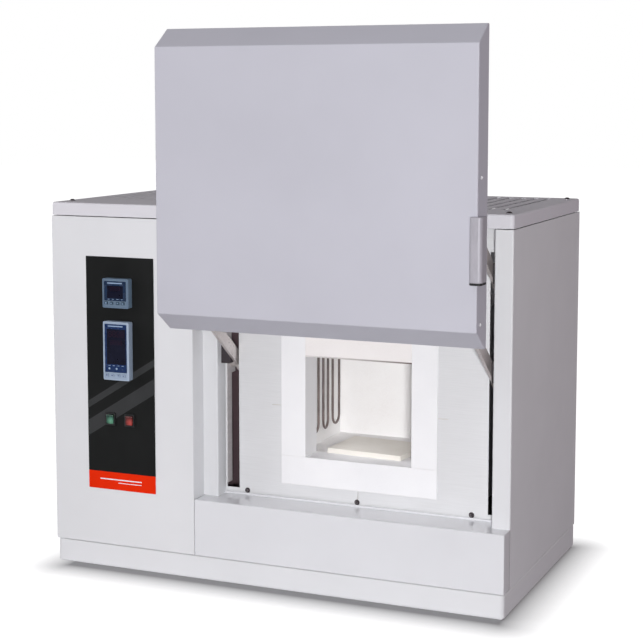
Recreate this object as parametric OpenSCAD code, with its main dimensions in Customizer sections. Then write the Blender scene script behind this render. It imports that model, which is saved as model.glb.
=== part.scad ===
// Bench-top high-temperature chamber furnace (a small kiln) with a door that lifts on parallel arms.
// Millimetres, +Z up, front faces -Y. The origin is the middle of the base's underside.
// The door is drawn in its open, raised position, which is the rest position of every joint.
// Inside at_corner() all places are measured from the front left corner of the footprint.

/* [Cabinet] */
// Overall width of the cabinet
body_w = 780; // [776:1:790]
// Depth of the cabinet
body_d = 428; // [424:1:450]
// Height of the cabinet with its lid
body_h = 605; // [603:1:610]
// Height of the base tray
base_h = 38; // [34:1:40]
// Height of the lid's edge
lid_h = 21; // [16:1:22]
// Shadow gap between the lid and the cabinet
lid_gap = 1.5; // [0:0.5:2]
// Thickness of the folded sheet steel
sheet = 1.5; // [1:0.1:1.6]
// Width of the electronics column on the left
column_w = 260.5; // [258:0.5:260.5]
// Height of the sill in front of the furnace
sill_h = 130.5; // [129:0.5:131]

/* [Door recess] */
// Depth from the column's front to the stainless front plate
recess_d = 66; // [66:1:68]
// How far the right pillar stands back from the column's front
pillar_back = 30; // [29:1:34]
// Width of the right pillar
pillar_w = 29; // [26:1:30]
// Right edge of the left cheek
cheek_x = 286.5; // [282:0.5:287]
// Width of the left slot that the arms pass through
slot_w_left = 22.5; // [20:0.5:22.5]
// Width of the right slot
slot_w_right = 15; // [12:0.5:15]
// Top of the slots
slot_top = 545; // [543:1:550]

/* [Chamber] */
// Middle of the chamber, from the cabinet's left side
chamber_x = 519.5; // [518:0.5:521]
// Width of the opening in the collar
opening_w = 180; // [170:1:182]
// Height of the opening in the collar
opening_h = 163.5; // [160:0.5:165]
// Height of the chamber floor
floor_z = 202; // [201:1:203]
// Width between the chamber's side walls
chamber_w = 223; // [220:1:224]
// Depth of the chamber behind the collar
chamber_d = 152; // [150:1:154]
// Height of the chamber
chamber_h = 178; // [176:1:180]
// Thickness of the collar boards
collar_t = 45; // [44:1:46]

/* [Heating elements] */
// Diameter of an element's hot zone
hot_d = 4; // [3:0.5:5]
// Diameter of an element's terminal
terminal_d = 9; // [8:0.5:9]
// Distance between the two legs of an element
leg_pitch = 28; // [26:1:30]
// Distance from one element to the next
element_pitch = 44; // [42:1:45]

/* [Door] */
// Left edge of the door
door_x = 267; // [265:1:268]
// Width of the door
door_w = 506; // [500:1:506]
// Height of the door
door_h = 457; // [450:1:457]
// Depth of the door's sheet metal body
door_t = 45; // [42:1:45]
// Height of the slanted strip along the door's top and bottom edges
bevel_h = 28; // [24:1:30]
// Depth of that slanted strip
bevel_d = 39; // [30:1:40]

/* [Lifting arms] */
// Distance between an arm's two pivots
arm_len = 181; // [181]
// Angle of the arms above level with the door open, degrees
arm_open = 38; // [38]
// Angle of the arms below level with the door closed, degrees
arm_closed = 78; // [78]
// Depth of the arm pivots behind the column's front
pivot_y = 84; // [84:0.5:85]
// Height of the lower arm pivots
pivot_low_z = 345; // [344:1:346]
// Height of the upper arm pivots
pivot_high_z = 495; // [494:1:496]

/* [Control panel] */
// Left edge of the black panel
panel_x = 65; // [60:1:66]
// Width of the black panel
panel_w = 126; // [120:1:130]
// Bottom of the black panel
panel_z = 132; // [128:1:134]
// Height of the black panel
panel_h = 386.5; // [380:0.5:390]
// Left edge of the two instruments
instrument_x = 103; // [100:1:106]
// Bottom of the over-temperature limiter
limiter_z = 436.5; // [434:0.5:438]
// Bottom of the temperature controller
controller_z = 318; // [316:0.5:320]
// Height of the two push buttons' middles
button_z = 251; // [245:1:255]

/* [Hidden] */
$fn = 64;

// Cabinet
base_inset = 2;
base_corner_r = 4;
base_flange = 12;
side_flange = 14;
rail_y0 = 34;
panel_top = body_h - lid_h - lid_gap;
rear_flange = 12;
rear_y = body_d - rear_flange;
step_x = column_w + 1.5;
lid_vent_w = 8;
lid_vent_pitch = 22;
lid_vent_y = 120;
lid_vent_len = 280;
screw_r = 5;
screw_head = 3;
gland_x = 130;
gland_z = 85;
gland_r = 10;

// Recess
plate_y = recess_d;
plate_back = plate_y + sheet;
pillar_x = body_w - pillar_w;
arm_left_x = 305;
arm_right_x = 739.5;
slot_bottom = 140;
slot_x = [cheek_x + 1.5, pillar_x - 2 - slot_w_right];
slot_w = [slot_w_left, slot_w_right];
bolt_x = [325, 518, 708];
bolt_z = [sill_h + 6.5, 572];
slit_w = 1;
slit_len = 17;

// Insulation
collar_margin = 42.5;
collar_x0 = chamber_x - opening_w / 2 - collar_margin;
collar_x1 = chamber_x + opening_w / 2 + collar_margin;
collar_z0 = floor_z - 46.5;
collar_z1 = floor_z + opening_h + 44.5;
collar_y0 = plate_y - 2;
collar_y1 = collar_y0 + collar_t;
board_t = 25;
backing_t = 40;
wall_x0 = chamber_x - chamber_w / 2;
wall_x1 = chamber_x + chamber_w / 2;
hot_x0 = wall_x0 - board_t;
hot_x1 = wall_x1 + board_t;
hot_y1 = collar_y1 + chamber_d + board_t;
roof_z = floor_z + chamber_h;
cold_x0 = hot_x0 - backing_t;
cold_x1 = hot_x1 + backing_t;
cold_y1 = hot_y1 + backing_t;
cold_z0 = floor_z - board_t - backing_t;
cold_z1 = roof_z + board_t + backing_t;
casing_t = 1.2;
joint_gap = 0.2;
backing_y0 = plate_back + 0.5;

// Heating elements: three on each side of the chamber
element_x = [wall_x0 + 9, wall_x1 - 9];
element_mid_y = collar_y1 + 67;
element_twist = [0, 7, 0];
element_bottom = floor_z + 25;
cold_end_z = roof_z + 15;
terminal_top = cold_z1 + 62;
element_hole_r = terminal_d / 2 + 1.5;
holder_h = 18;
thermocouple_z = floor_z + 138;
thermocouple_r = 4;

// Door and arms
arm_reach_open = arm_len * cos(arm_open);
arm_rise_open = arm_len * sin(arm_open);
lift = arm_len * (sin(arm_open) + sin(arm_closed));
travel = arm_len * (cos(arm_open) - cos(arm_closed));
door_gap = 3.5;
door_z = sill_h + door_gap + lift;
door_front = -20 - travel;
door_rim = door_front + door_t;
pin_y = pivot_y - arm_reach_open;
pin_z = [pivot_low_z + arm_rise_open, pivot_high_z + arm_rise_open];
grip_z = door_z + 96;
grip_h = 95;
plug_z0 = collar_z0 + lift;
plug_z1 = collar_z1 + lift;
plug_rear = collar_y0 - 0.5 - travel;
arm_t = 5;
arm_sides = [[arm_left_x, -1], [arm_right_x, 1]];
arm_w = 20;
arm_end_r = 13;
pivot_r = 5;
pin_r = 4;
running = 0.05;
open_pivot = 0.3;
ear_t = 3.5;
ear_gap = 3.5;
rail_t = 4;
rail_back = 84;
lug_back = 97;
lug_half = 18;

// Control panel
overlay_t = 0.8;
bezel_w = 48;
bezel_depth = 12;
instrument_depth = 70;
key_x = [6.5, 16.5, 28, 37.5];
key_w = 5.6;
key_h = 4.4;
key_gap = 0.25;
key_z_low = 8;
key_travel = 0.8;
button_x = [108.6, 144.6];
button_w = 13;
button_h = 15;
button_gap = 0.3;
button_frame = 3;

// --- helpers ---

module at_corner() {
    translate([-body_w / 2, -body_d / 2, 0]) children();
}

// A box from its lowest corner to its highest corner
module block(lo, hi) {
    translate(lo) cube(hi - lo);
}

// A rod or bore along Y from y0 to y1
module rod_y(x, z, r, y0, y1) {
    translate([x, y0, z]) rotate([-90, 0, 0]) cylinder(r = r, h = y1 - y0);
}

// A rod or bore along X from x0 to x1
module rod_x(y, z, r, x0, x1) {
    translate([x0, y, z]) rotate([0, 90, 0]) cylinder(r = r, h = x1 - x0);
}

// Rectangle with round corners, lower left corner at the origin
module rounded_rect(w, h, r) {
    translate([r, 0]) square([w - 2 * r, h]);
    translate([0, r]) square([w, h - 2 * r]);
    for (x = [r, w - r], y = [r, h - r]) translate([x, y]) circle(r = r, $fn = 32);
}

// Upright plate with round corners, facing -Y, from y0 to y1
module rounded_front(x, z, w, h, r, y0, y1) {
    translate([x, y1, z]) rotate([90, 0, 0]) linear_extrude(y1 - y0) rounded_rect(w, h, r);
}

// Both sides of the chamber, mirrored about its middle
module both_sides() {
    children();
    translate([2 * chamber_x, 0, 0]) mirror([1, 0, 0]) children();
}

// --- cabinet ---

module base_tray() color("gainsboro") at_corner() difference() {
    translate([base_inset, 0, 0]) linear_extrude(base_h)
        rounded_rect(body_w - base_inset, body_d, base_corner_r);
    translate([base_inset + sheet, sheet, sheet]) linear_extrude(base_h - 2 * sheet)
        rounded_rect(body_w - base_inset - 2 * sheet, body_d - 2 * sheet, base_corner_r - sheet);
    block([base_inset + base_flange, base_flange, base_h / 2],
        [body_w - base_flange, body_d - base_flange, base_h + 1]);
}

module side_panel_left() color("gainsboro") at_corner() {
    block([0, sheet, base_h], [sheet, rear_y, panel_top]);
    block([0, sheet, base_h], [side_flange, rear_y, base_h + sheet]);
    lid_rail(0);
}

// Step along the top of a side panel that carries the lid and takes its screws
module lid_rail(x) {
    out = x == 0 ? 0 : 1;
    lid_under = body_h - sheet;
    module mirrored() translate([x, 0, 0]) mirror([out, 0, 0]) children();
    difference() {
        mirrored() {
            block([0, rail_y0, panel_top - sheet], [5, rear_y, panel_top]);
            block([3.5, rail_y0, panel_top - sheet], [5, rear_y, lid_under]);
            block([3.5, rail_y0, lid_under - sheet], [side_flange + 10, rear_y, lid_under]);
        }
        for (p = lid_screw_at()) translate([p[0], p[1], lid_under - 3]) cylinder(r = screw_r / 2, h = 5);
    }
}

module side_panel_right() color("silver") at_corner() {
    block([body_w - sheet, pillar_back, base_h], [body_w, rear_y, panel_top]);
    block([pillar_x, pillar_back, sill_h], [body_w, pillar_back + sheet, panel_top]);
    block([pillar_x, pillar_back, sill_h], [pillar_x + sheet, plate_y, panel_top]);
    lid_rail(body_w);
}

module vent_rows(x0, count, z) {
    for (i = [0 : count - 1])
        block([x0 + i * 12, body_d - 2 * sheet, z], [x0 + i * 12 + 5, body_d + 1, z + 60]);
}

module rear_panel() color("gainsboro") at_corner() difference() {
    union() {
        block([0, body_d - sheet, base_h], [body_w, body_d, panel_top]);
        for (x = [0, body_w - sheet])
            block([x, rear_y + 0.5, base_h], [x + sheet, body_d, panel_top]);
    }
    vent_rows(60, 12, 470);
    vent_rows(440, 14, 470);
    vent_rows(440, 14, 60);
    rod_y(gland_x, gland_z, gland_r, body_d - 2 * sheet, body_d + 1);
}

module column_front() color("gainsboro") at_corner() difference() {
    union() {
        block([0, 0, base_h], [column_w, sheet, panel_top]);
        block([column_w - sheet, 0, base_h], [column_w, 36, panel_top]);
        block([sheet, sheet, base_h + sheet], [2 * sheet, 20, panel_top - sheet]);
    }
    panel_cutouts();
}

// Holes behind the instruments and the push buttons
module panel_cutouts() {
    for (cut = [[limiter_z, bezel_w], [controller_z, 2 * bezel_w]])
        block([instrument_x + 1.5, -5, cut[0] + 1.5],
            [instrument_x + bezel_w - 1.5, 5, cut[0] + cut[1] - 1.5]);
    for (x = button_x)
        block([x - button_w / 2 - 1.5, -5, button_z - button_h / 2 - 1.5],
            [x + button_w / 2 + 1.5, 5, button_z + button_h / 2 + 1.5]);
}

module partition_wall() color("silver") at_corner() {
    block([column_w - 3 * sheet, sheet, base_h], [column_w - 2 * sheet, body_d - 2, panel_top - 2]);
}

module lid_outline(inset) {
    polygon([[inset, inset], [step_x - inset, inset], [step_x - inset, pillar_back + inset],
        [body_w - inset, pillar_back + inset], [body_w - inset, body_d - inset], [inset, body_d - inset]]);
}

module lid() color("darkgray") at_corner() difference() {
    translate([0, 0, body_h - lid_h]) linear_extrude(lid_h) lid_outline(0);
    translate([0, 0, body_h - lid_h - 1]) linear_extrude(lid_h + 1 - sheet) lid_outline(sheet);
    for (x = [30 : lid_vent_pitch : body_w - 30])
        block([x - lid_vent_w / 2, lid_vent_y, body_h - 3], [x + lid_vent_w / 2, lid_vent_y + lid_vent_len, body_h + 1]);
    for (p = lid_screw_at()) translate([p[0], p[1], body_h - 3]) cylinder(r = screw_r / 2, h = 5);
}

function lid_screw_at() = [[14, 43], [body_w - 16, 60], [14, body_d - 24], [body_w - 16, body_d - 24]];

module lid_screws() color("dimgray") at_corner() {
    for (p = lid_screw_at()) translate([p[0], p[1], 0]) {
        translate([0, 0, body_h]) button_head(screw_r, screw_head);
        translate([0, 0, body_h - 12]) cylinder(r = screw_r / 2, h = 12.5);
    }
}

// Domed screw head standing on z = 0
module button_head(r, h) {
    sphere_r = (r * r + h * h) / (2 * h);
    difference() {
        translate([0, 0, h - sphere_r]) sphere(r = sphere_r);
        translate([0, 0, -2 * sphere_r]) cylinder(r = 2 * sphere_r, h = 2 * sphere_r);
        translate([0, 0, h - 1.4]) cylinder(r = r * 0.4, h = 3, $fn = 6);
    }
}

module sill_cover() color("whitesmoke") at_corner() {
    x0 = column_w + 1;
    block([x0, 0, base_h], [body_w, sheet, sill_h]);
    block([x0, 0, sill_h - sheet], [body_w, pillar_back, sill_h]);
    block([x0, pillar_back, sill_h - sheet], [body_w - 2 * sheet, plate_back, sill_h]);
    for (x = [x0, body_w - sheet]) block([x, 0, base_h], [x + sheet, pillar_back, sill_h]);
}

// Front strip and side wall to the left of the front plate
module recess_cheek() color("gainsboro") at_corner() {
    block([column_w, 36, sill_h], [cheek_x, 36 + sheet, panel_top]);
    block([cheek_x - sheet, 36, sill_h], [cheek_x, plate_y, panel_top]);
}

module front_plate() color("lightgray") at_corner() difference() {
    union() {
        block([cheek_x - sheet, plate_y, sill_h], [pillar_x + sheet, plate_back, panel_top]);
        block([cheek_x, plate_y - 3, sill_h], [pillar_x, plate_back, sill_h + sheet]);
    }
    for (i = [0, 1])
        block([slot_x[i], plate_y - 1, slot_bottom], [slot_x[i] + slot_w[i], plate_back + 1, slot_top]);
    block([collar_x0, plate_y - 1, collar_z0], [collar_x1, plate_back + 1, collar_z1]);
    expansion_slits();
    for (x = bolt_x, z = bolt_z) rod_y(x, z, 2.6, plate_y - 1, plate_back + 1);
}

// Saw cuts from the window's edges that let the hot plate expand
module expansion_slits() {
    mid_z = (collar_z0 + collar_z1) / 2;
    block([collar_x0 - slit_len, plate_y - 1, mid_z], [collar_x0, plate_back + 1, mid_z + slit_w]);
    block([collar_x1, plate_y - 1, mid_z], [collar_x1 + slit_len, plate_back + 1, mid_z + slit_w]);
    block([chamber_x - slit_w / 2, plate_y - 1, collar_z0 - slit_len],
        [chamber_x + slit_w / 2, plate_back + 1, collar_z0]);
    block([chamber_x - slit_w / 2, plate_y - 1, collar_z1],
        [chamber_x + slit_w / 2, plate_back + 1, collar_z1 + slit_len]);
}

module front_plate_bolts() color("dimgray") at_corner() {
    for (x = bolt_x, z = bolt_z) {
        translate([x, plate_y, z]) rotate([90, 0, 0]) button_head(4.5, 3.2);
        rod_y(x, z, 2.5, plate_y - 0.5, plate_back);
    }
}

// --- control panel ---

module overlay_panel() color("black") at_corner() difference() {
    block([panel_x, -overlay_t, panel_z], [panel_x + panel_w, 0, panel_z + panel_h]);
    panel_cutouts();
}

// Panel instrument: bezel in front, case behind, a pocket for the window and holes for the keys
module instrument(z, h, window_low, window_high) {
    difference() {
        union() {
            rounded_front(instrument_x, z, bezel_w, h, 2.5, -bezel_depth, -overlay_t);
            block([instrument_x + 1.5, -overlay_t - 1, z + 1.5],
                [instrument_x + bezel_w - 1.5, instrument_depth, z + h - 1.5]);
        }
        window_space(z + window_low, z + window_high, 0);
        for (x = key_x) key_space(x, z + key_z_low, key_gap, -4);
    }
}

module window_space(z0, z1, front) {
    block([instrument_x + 3.5, -bezel_depth - 1 + front, z0], [instrument_x + bezel_w - 5, -bezel_depth + 1.8, z1]);
}

// The room of one key, wider by the gap all round, from in front of the bezel to y_back
module key_space(x, z, gap, y_back) {
    block([instrument_x + x - key_w / 2 - gap, -bezel_depth - key_travel - 0.6, z - key_h / 2 - gap],
        [instrument_x + x + key_w / 2 + gap, y_back, z + key_h / 2 + gap]);
}

module instrument_key(index, z) {
    key_space(key_x[index], z + key_z_low, 0, -4 - key_travel - 0.4);
}

module limiter_case() color("slategray") at_corner() instrument(limiter_z, bezel_w, 13, 43);
module limiter_window() color("midnightblue") at_corner() window_space(limiter_z + 13, limiter_z + 43, 1);
module limiter_key_1() color("lightblue") at_corner() instrument_key(0, limiter_z);
module limiter_key_2() color("lightblue") at_corner() instrument_key(1, limiter_z);
module limiter_key_3() color("lightblue") at_corner() instrument_key(2, limiter_z);
module limiter_key_4() color("lightblue") at_corner() instrument_key(3, limiter_z);

module controller_case() color("lightsteelblue") at_corner() instrument(controller_z, 2 * bezel_w, 14, 91);
module controller_window() color("midnightblue") at_corner() window_space(controller_z + 14, controller_z + 91, 1);
module controller_key_1() color("slategray") at_corner() instrument_key(0, controller_z);
module controller_key_2() color("slategray") at_corner() instrument_key(1, controller_z);
module controller_key_3() color("slategray") at_corner() instrument_key(2, controller_z);
module controller_key_4() color("slategray") at_corner() instrument_key(3, controller_z);

// Frames and barrels of the two push buttons, closed behind
module button_frames() color("black") at_corner() for (x = button_x) difference() {
    union() {
        rounded_front(x - button_w / 2 - button_frame, button_z - button_h / 2 - button_frame,
            button_w + 2 * button_frame, button_h + 2 * button_frame, 2, -3.8, -overlay_t);
        block([x - button_w / 2 - 1.4, -overlay_t - 1, button_z - button_h / 2 - 1.4],
            [x + button_w / 2 + 1.4, 32, button_z + button_h / 2 + 1.4]);
    }
    button_room(x, button_gap, 30);
}

module button_room(x, gap, y_back) {
    block([x - button_w / 2 - gap, -6.5, button_z - button_h / 2 - gap],
        [x + button_w / 2 + gap, y_back, button_z + button_h / 2 + gap]);
}

module green_button() color("seagreen") at_corner() button_room(button_x[0], 0, 24);
module red_button() color("firebrick") at_corner() button_room(button_x[1], 0, 24);

// --- insulation ---

module collar_sides() color("white") at_corner() both_sides() {
    block([collar_x0, collar_y0, floor_z], [collar_x0 + collar_margin, collar_y1, collar_z1]);
}

module collar_bottom() color("white") at_corner() {
    block([collar_x0, collar_y0, collar_z0], [collar_x1, collar_y1, floor_z]);
}

module collar_lintel() color("white") at_corner() {
    block([collar_x0 + collar_margin, collar_y0, floor_z + opening_h],
        [collar_x1 - collar_margin, collar_y1, collar_z1]);
}

module chamber_floor() color("white") at_corner() {
    block([hot_x0, collar_y1, floor_z - board_t], [hot_x1, hot_y1, floor_z]);
}

module chamber_walls() color("white") at_corner() {
    both_sides() block([hot_x0, collar_y1, floor_z], [wall_x0, hot_y1, roof_z]);
    difference() {
        block([wall_x0 + joint_gap, hot_y1 - board_t, floor_z], [wall_x1 - joint_gap, hot_y1, roof_z]);
        thermocouple_bore();
    }
}

module thermocouple_bore() {
    rod_y(chamber_x, thermocouple_z, thermocouple_r + 0.5, hot_y1 - board_t - 1, cold_y1 + casing_t + 1);
}

module chamber_roof() color("white") at_corner() difference() {
    block([hot_x0, collar_y1, roof_z], [hot_x1, hot_y1, roof_z + board_t]);
    element_bores(element_hole_r, roof_z - 1, roof_z + board_t + 1);
}

// Places the children at every heating element, its legs lying along Y
module at_elements() {
    for (x = element_x, i = [0 : 2])
        translate([x, element_mid_y + (i - 1) * element_pitch, 0]) rotate(element_twist[i]) children();
}

module element_bores(r, z0, z1) {
    at_elements() for (side = [-1, 1])
        translate([0, side * leg_pitch / 2, z0]) cylinder(r = r, h = z1 - z0);
}

// Light fibre boards around the hot-face boards and behind the front plate, with thin open joints
module backing_boards() color("ivory") at_corner() {
    gap = joint_gap;
    low = cold_z0 + backing_t;
    high = cold_z1 - backing_t;
    block([cold_x0, collar_y1, cold_z0], [cold_x1, cold_y1, low]);
    for (x = [cold_x0, hot_x1]) block([x, collar_y1, low + gap], [x + backing_t, cold_y1, high - gap]);
    difference() {
        block([hot_x0 + gap, hot_y1, low + gap], [hot_x1 - gap, cold_y1, high - gap]);
        thermocouple_bore();
    }
    difference() {
        block([cold_x0, collar_y1, high], [cold_x1, cold_y1, cold_z1]);
        element_bores(element_hole_r, high - 1, cold_z1 + 1);
    }
    for (x = [[cold_x0, collar_x0], [collar_x1, cold_x1]])
        block([x[0], backing_y0, cold_z0], [x[1], collar_y1 - gap, cold_z1]);
    for (z = [[cold_z0, collar_z0], [collar_z1, cold_z1]])
        block([collar_x0 + gap, backing_y0, z[0]], [collar_x1 - gap, collar_y1 - gap, z[1]]);
}

// Five flat sheets around the insulation, each held a little clear of the next
module furnace_casing() color("lightgray") at_corner() {
    y0 = backing_y0;
    y1 = cold_y1 + casing_t;
    for (x = [cold_x0 - casing_t, cold_x1]) block([x, y0, cold_z0], [x + casing_t, cold_y1, cold_z1]);
    block([cold_x0, y0, cold_z0 - casing_t], [cold_x1, cold_y1, cold_z0 - joint_gap]);
    difference() {
        block([cold_x0, y0, cold_z1 + joint_gap], [cold_x1, cold_y1, cold_z1 + casing_t]);
        element_bores(element_hole_r, cold_z1 - 1, cold_z1 + casing_t + 1);
    }
    difference() {
        block([cold_x0, cold_y1 + joint_gap, cold_z0], [cold_x1, y1, cold_z1]);
        thermocouple_bore();
    }
}

// Legs and cross rails that carry the furnace over the base tray
module support_frame() color("silver") at_corner() {
    top = cold_z0 - casing_t;
    for (x = [cold_x0, cold_x1 - 25]) {
        for (y = [backing_y0 + 20, cold_y1 - 25]) {
            block([x, y, sheet], [x + 3, y + 25, top]);
            block([x, y, sheet], [x + 25, y + 3, top]);
        }
        block([x, backing_y0 + 20, top - 3], [x + 25, cold_y1, top]);
    }
}

// --- heating and electrical parts ---

// One U of molybdenum disilicide: thin hot legs, a bend, and thick terminals
module element_u() {
    bend_r = leg_pitch / 2;
    bend_z = element_bottom + bend_r;
    for (side = [-1, 1]) translate([0, side * bend_r, 0]) {
        translate([0, 0, bend_z]) cylinder(r = hot_d / 2, h = cold_end_z - bend_z + 1);
        translate([0, 0, cold_end_z]) cylinder(r = terminal_d / 2, h = terminal_top - cold_end_z);
    }
    translate([0, 0, bend_z]) rotate([0, 90, 0]) rotate([0, 0, -90])
        rotate_extrude(angle = 180) translate([bend_r, 0]) circle(r = hot_d / 2, $fn = 32);
}

module heating_elements() color("gray") at_corner() at_elements() element_u();

module element_holders() color("wheat") at_corner() at_elements() difference() {
    translate([-11, -leg_pitch / 2 - 6.5, cold_z1 + casing_t])
        cube([22, leg_pitch + 13, holder_h]);
    for (side = [-1, 1]) translate([0, side * leg_pitch / 2, cold_z1])
        cylinder(r = terminal_d / 2, h = holder_h + 5);
}

// Aluminium jumpers from one element to the next, with a bar across the back
module terminal_straps() color("silver") at_corner() {
    z = terminal_top - 14;
    difference() {
        union() {
            for (x = element_x, i = [0, 1]) strap(leg_at(x, i, 1), leg_at(x, i + 1, -1), z);
            strap(leg_at(element_x[0], 2, 1), leg_at(element_x[1], 2, 1), z);
            for (x = element_x) translate(concat(leg_at(x, 0, -1), z)) cylinder(r = 8, h = 8);
        }
        element_bores(terminal_d / 2, z - 1, z + 9);
    }
}

// Place of one leg: side of the chamber, element number, front (-1) or rear (1) leg
function leg_at(x, i, side) = [
    x - side * leg_pitch / 2 * sin(element_twist[i]),
    element_mid_y + (i - 1) * element_pitch + side * leg_pitch / 2 * cos(element_twist[i])
];

module strap(a, b, z) {
    for (p = [a, b]) translate([p[0], p[1], z]) cylinder(r = 8, h = 8);
    translate([a[0], a[1], z + 2]) rotate(atan2(b[1] - a[1], b[0] - a[0]))
        translate([0, -5, 0]) cube([norm(b - a), 10, 3]);
}

module setter_plate() color("tan") at_corner() {
    translate([chamber_x - 2, collar_y1 + 45, floor_z]) rotate(-4)
        translate([-65, -50, 0]) cube([130, 100, 8]);
}

module thermocouple() color("ivory") at_corner() {
    flange_y = cold_y1 + casing_t;
    rod_y(chamber_x, thermocouple_z, thermocouple_r, hot_y1 - board_t - 22, flange_y + 4);
    rod_y(chamber_x, thermocouple_z, 14, flange_y, flange_y + 4);
    rod_y(chamber_x, thermocouple_z, 18, flange_y + 4, flange_y + 34);
}

// Laminated core and two coils on the base tray under the chamber
module transformer() color("darkslategray") at_corner() {
    block([570, 190, sheet], [720, 260, 20]);
    block([570, 190, 20], [595, 260, 100]);
    block([695, 190, 20], [720, 260, 100]);
    block([632, 190, 20], [658, 260, 100]);
    block([570, 190, 100], [720, 260, 118]);
    for (x = [596, 659]) block([x, 180, 22], [x + 35, 270, 98]);
}

// Thyristor unit with its heat sink fins, on the partition wall
module power_controller() color("dimgray") at_corner() {
    wall_x = column_w - 3 * sheet;
    block([wall_x - 70, 250, 300], [wall_x - 40, 370, 420]);
    block([wall_x - 40, 250, 300], [wall_x - 32, 370, 420]);
    for (i = [0 : 9]) block([wall_x - 33, 252 + i * 12.4, 300], [wall_x, 254.5 + i * 12.4, 420]);
}

// Contactor on a length of top-hat rail
module contactor() color("ivory") at_corner() {
    wall_x = column_w - 3 * sheet;
    block([wall_x - 7, 90, 202], [wall_x, 390, 237]);
    for (y = [120, 180, 240]) block([wall_x - 85, y, 180], [wall_x - 7, y + 45, 260]);
}

module cable_gland() color("dimgray") at_corner() difference() {
    union() {
        rod_y(gland_x, gland_z, gland_r, body_d - 8, body_d + 1);
        translate([gland_x, body_d, gland_z]) rotate([-90, 0, 0]) cylinder(r = 14, h = 6, $fn = 6);
        rod_y(gland_x, gland_z, 11.5, body_d + 6, body_d + 18);
        translate([gland_x, body_d - 1.5 - 4, gland_z]) rotate([-90, 0, 0]) cylinder(r = 14, h = 4, $fn = 6);
    }
    rod_y(gland_x, gland_z, 5.5, body_d - 9, body_d + 19);
}

// --- door, drawn raised ---

// Side view of the door's sheet body, shrunk by inset on every side: [y, z] points
module door_profile(inset) {
    slant = inset * 0.5;
    front = door_front + inset;
    low = door_z + inset;
    high = door_z + door_h - inset;
    polygon([[front, door_z + bevel_h + slant], [front, door_z + door_h - bevel_h - slant],
        [door_front + bevel_d + slant, high], [door_rim, high], [door_rim, low],
        [door_front + bevel_d + slant, low]]);
}

module door_shell() color("lightsteelblue") at_corner() difference() {
    translate([door_x, 0, 0]) extrude_x(door_w) door_profile(0);
    translate([door_x + sheet, 0, 0]) extrude_x(door_w - 2 * sheet) door_profile(sheet);
    translate([door_x + sheet, door_rim - sheet, door_z + sheet]) cube([door_w - 2 * sheet, 3, door_h - 2 * sheet]);
}

// Stretches a profile drawn in Y and Z along X
module extrude_x(length) {
    rotate([90, 0, 90]) linear_extrude(length) children();
}

module door_back_plate() color("lightgray") at_corner() difference() {
    block([door_x + sheet, door_rim - sheet, door_z + sheet],
        [door_x + door_w - sheet, door_rim, door_z + door_h - sheet]);
    block([collar_x0, door_rim - 3, plug_z0], [collar_x1, door_rim + 1, plug_z1]);
}

module door_insulation() color("white") at_corner() {
    block([collar_x0, door_front + 12, plug_z0], [collar_x1, plug_rear, plug_z1]);
}

// Upright grip that wraps the door's front right edge
module door_grip() color("silver") at_corner() {
    edge_x = door_x + door_w;
    difference() {
        intersection() {
            translate([edge_x - 8.5, door_front - 12, grip_z]) linear_extrude(grip_h) rounded_rect(18.5, 26, 6);
            rounded_front(edge_x - 8.5, grip_z, 18.5, grip_h, 5, door_front - 13, door_front + 15);
        }
        block([edge_x - 20, door_front, grip_z - 1], [edge_x, door_front + 30, grip_z + grip_h + 1]);
    }
}

module door_rivets() color("white") at_corner() for (z = [door_z + 38, door_z + 244]) {
    translate([door_x + door_w, door_front + 17, z]) rotate([0, 90, 0]) button_head(3, 1.4);
    translate([door_x, door_front + 17, z]) rotate([0, -90, 0]) button_head(3, 1.4);
}

// Ears on the door's back, each beside its arm on the outer side
module door_brackets() color("gray") at_corner() for (z = pin_z, side = arm_sides) {
    x0 = min(ear_span(side));
    x1 = max(ear_span(side));
    foot = side[1] * 6;
    difference() {
        union() {
            block([x0, door_rim, z - 14], [x1, pin_y, z + 14]);
            block([min(x0, x0 + foot), door_rim, z - 20], [max(x1, x1 + foot), door_rim + 2.5, z + 20]);
            rod_x(pin_y, z, 14, x0, x1);
        }
        rod_x(pin_y, z, pin_r, x0 - 1, x1 + 1);
    }
}

// Inner and outer face of the ear beside an arm
function ear_span(side) = [for (t = [0, ear_t]) side[0] + side[1] * (arm_t / 2 + ear_gap + t)];

// Pins fixed in the ears, reaching through the arms, with a flat head behind the arm
module door_pins() color("silver") at_corner() for (z = pin_z, side = arm_sides) {
    out = ear_span(side)[1];
    in = side[0] - side[1] * (arm_t / 2 + 1);
    head = in - side[1] * 2;
    rod_x(pin_y, z, pin_r, min(out, in), max(out, in));
    rod_x(pin_y, z, pin_r + 2, min(in, head), max(in, head));
}

// --- lifting arms ---

// Flat arm in the door-open position, its cabinet pivot at (pivot_y, z)
module arm(x, z, door_clearance) {
    difference() {
        translate([x - arm_t / 2, pivot_y, z]) rotate([-arm_open, 0, 0]) {
            for (y = [0, -arm_len]) translate([0, y, 0]) rotate([0, 90, 0]) cylinder(r = arm_end_r, h = arm_t);
            translate([0, -arm_len, -arm_w / 2]) cube([arm_t, arm_len, arm_w]);
        }
        rod_x(pivot_y, z, pivot_r + running, x - arm_t, x + arm_t);
        rod_x(pin_y, z + arm_rise_open, pin_r + door_clearance, x - arm_t, x + arm_t);
    }
}

module arm_lower_left() color("silver") at_corner() arm(arm_left_x, pivot_low_z, running);
module arm_lower_right() color("silver") at_corner() arm(arm_right_x, pivot_low_z, running);
module arm_upper_left() color("silver") at_corner() arm(arm_left_x, pivot_high_z, open_pivot);
module arm_upper_right() color("silver") at_corner() arm(arm_right_x, pivot_high_z, open_pivot);

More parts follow.
